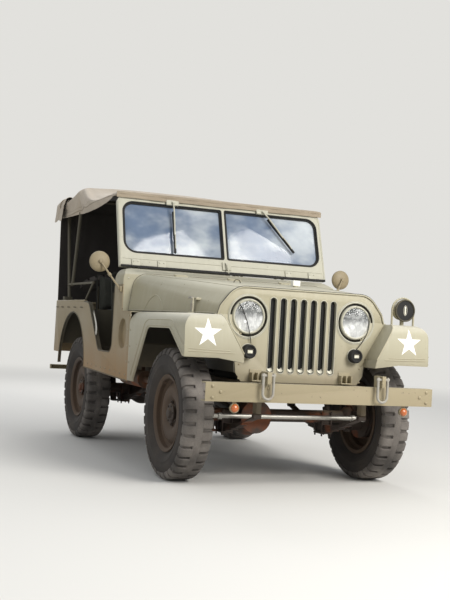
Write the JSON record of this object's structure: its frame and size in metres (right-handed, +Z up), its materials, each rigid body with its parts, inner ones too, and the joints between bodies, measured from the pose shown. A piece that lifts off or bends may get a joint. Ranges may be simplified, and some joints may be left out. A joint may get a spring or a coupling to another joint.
{
  "type": "light military 4x4 car",
  "caption": "Light open field car with four driven wheels, a cloth top on bows, a slotted grille, a hinged hood and steered front wheels.",
  "frame": {"origin": "on the ground under the middle of the vehicle's outer box", "axes": "+Y points to the rear, +X to the driver's side (left), +Z up; the front faces -Y"},
  "size_m": [1.916, 3.539, 1.9233],
  "materials": {
    "olive_paint": "satin olive drab enamel, faded and dusty",
    "axle_paint": "dark, rusty paint over cast iron and forged steel",
    "engine_paint": "dark grey paint over cast iron",
    "bright_steel": "dull bare steel",
    "tyre_rubber": "dusty black rubber, bar-lug tread",
    "wheel_paint": "dark brownish painted steel wheel",
    "canvas": "waxed cotton canvas, sun bleached",
    "seat_cloth": "dark padded canvas",
    "strap_web": "off-white cotton webbing",
    "window_glass": "clear flat glass and clear sheet",
    "lamp_glass": "clear moulded lens over a bright bowl",
    "amber_lens": "amber lens",
    "red_lens": "red lens",
    "black_plastic": "black moulded rim",
    "black_rubber": "black rubber blade"
  },
  "bodies": {
    "chassis": {"frame": "olive_paint", "front_bumper": "olive_paint", "lift_shackles": "olive_paint", "rear_bumperettes": "olive_paint", "tow_pintle": "axle_paint", "front_axle": "axle_paint", "rear_axle": "axle_paint", "suspension": "axle_paint", "engine": "engine_paint", "drive_train": "engine_paint", "exhaust": "axle_paint", "fuel_tank": "olive_paint", "radiator": "engine_paint", "floor_pan": "olive_paint", "side_left": "olive_paint", "side_right": "olive_paint", "rear_panel": "olive_paint", "cowl": "olive_paint", "fender_left": "olive_paint", "fender_right": "olive_paint", "grille": "olive_paint", "hood_latches": "olive_paint", "headlights": "lamp_glass", "marker_lamps": "amber_lens", "drive_lamp": "olive_paint", "tail_lamps": "red_lens", "windshield_frame": "olive_paint", "window_panes": "window_glass", "wipers": "black_rubber", "mirrors": "olive_paint", "canvas_roof": "canvas", "rear_curtain": "canvas", "top_bows": "olive_paint", "door_straps": "strap_web", "driver_seat": "seat_cloth", "passenger_seat": "seat_cloth", "rear_seat": "seat_cloth", "seat_frames": "olive_paint", "driver_controls": "engine_paint", "spare_tyre": "tyre_rubber", "spare_wheel": "wheel_paint"},
    "hood_lid": {"hood": "olive_paint"},
    "steering": {"steering_wheel": "black_plastic"},
    "knuckle_l": {"knuckle_left": "axle_paint"},
    "knuckle_r": {"knuckle_right": "axle_paint"},
    "tie_bar": {"tie_rod": "bright_steel"},
    "road_wheel_front_left": {"tyre_front_left": "tyre_rubber", "wheel_front_left": "wheel_paint"},
    "road_wheel_front_right": {"tyre_front_right": "tyre_rubber", "wheel_front_right": "wheel_paint"},
    "road_wheel_rear_left": {"tyre_rear_left": "tyre_rubber", "wheel_rear_left": "wheel_paint"},
    "road_wheel_rear_right": {"tyre_rear_right": "tyre_rubber", "wheel_rear_right": "wheel_paint"}
  },
  "joints": [
    {"name": "hood_hinge", "type": "hinge", "parent": "chassis", "child": "hood_lid", "pos_m": [0, -0.3555, 1.212], "axis": [-1, 0, 0], "range_deg": [0, 100]},
    {"name": "steering", "type": "hinge", "parent": "chassis", "child": "steering", "pos_m": [0.33, -0.0005, 1.18], "axis": [0, 0.8688, 0.4951], "range_deg": [-400, 400]},
    {"name": "steer_left", "type": "hinge", "parent": "chassis", "child": "knuckle_l", "pos_m": [0.5, -1.1205, 0.378], "axis": [0, 0, 1], "range_deg": [-25, 25]},
    {"name": "steer_right", "type": "hinge", "parent": "chassis", "child": "knuckle_r", "pos_m": [-0.5, -1.1205, 0.378], "axis": [0, 0, 1], "range_deg": [-25, 25]},
    {"name": "tie_rod_swing", "type": "hinge", "parent": "knuckle_l", "child": "tie_bar", "pos_m": [0.5, -1.2955, 0.385], "axis": [0, 0, 1], "range_deg": [-25, 25]},
    {"name": "spin_front_left", "type": "hinge", "parent": "knuckle_l", "child": "road_wheel_front_left", "pos_m": [0.624, -1.1205, 0.378], "axis": [1, 0, 0], "continuous": true},
    {"name": "spin_front_right", "type": "hinge", "parent": "knuckle_r", "child": "road_wheel_front_right", "pos_m": [-0.624, -1.1205, 0.378], "axis": [1, 0, 0], "continuous": true},
    {"name": "spin_rear_left", "type": "hinge", "parent": "chassis", "child": "road_wheel_rear_left", "pos_m": [0.624, 0.9365, 0.378], "axis": [1, 0, 0], "continuous": true},
    {"name": "spin_rear_right", "type": "hinge", "parent": "chassis", "child": "road_wheel_rear_right", "pos_m": [-0.624, 0.9365, 0.378], "axis": [1, 0, 0], "continuous": true}
  ],
  "couplings": [
    {"joint": "steer_left", "follows": "steering", "ratio": 0.0625},
    {"joint": "steer_right", "follows": "steering", "ratio": 0.0625},
    {"joint": "tie_rod_swing", "follows": "steering", "ratio": -0.0625}
  ]
}
